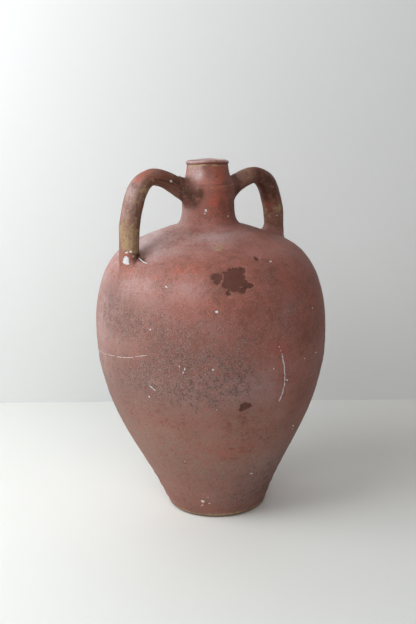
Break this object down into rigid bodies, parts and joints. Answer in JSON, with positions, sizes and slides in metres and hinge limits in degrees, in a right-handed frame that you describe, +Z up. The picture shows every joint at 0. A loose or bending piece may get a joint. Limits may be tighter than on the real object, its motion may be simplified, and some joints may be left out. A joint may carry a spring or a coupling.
{
  "type": "amphora",
  "caption": "Ovoid red earthenware water jar with a short neck, a tapered collared mouth, looped side handles and a narrow flat foot.",
  "frame": {"origin": "centre of the underside of the foot, which the jar stands on", "axes": "+Z up along the jar's axis, X through the handles (the left handle on -X), Y across them"},
  "size_m": [0.3241, 0.324, 0.5],
  "materials": {
    "red_slip": "matte",
    "handle_clay": "matte",
    "worn_foot": "matte"
  },
  "bodies": {
    "root": {"base_disc": "worn_foot", "lower_wall": "red_slip", "upper_wall": "red_slip", "neck_luting": "red_slip", "neck": "red_slip", "mouth_collar": "red_slip", "lip_ring": "red_slip", "handle_left": "handle_clay", "handle_right": "handle_clay", "foot_luting_left": "handle_clay", "foot_luting_right": "handle_clay", "neck_luting_left": "handle_clay", "neck_luting_right": "handle_clay"}
  },
  "joints": []
}
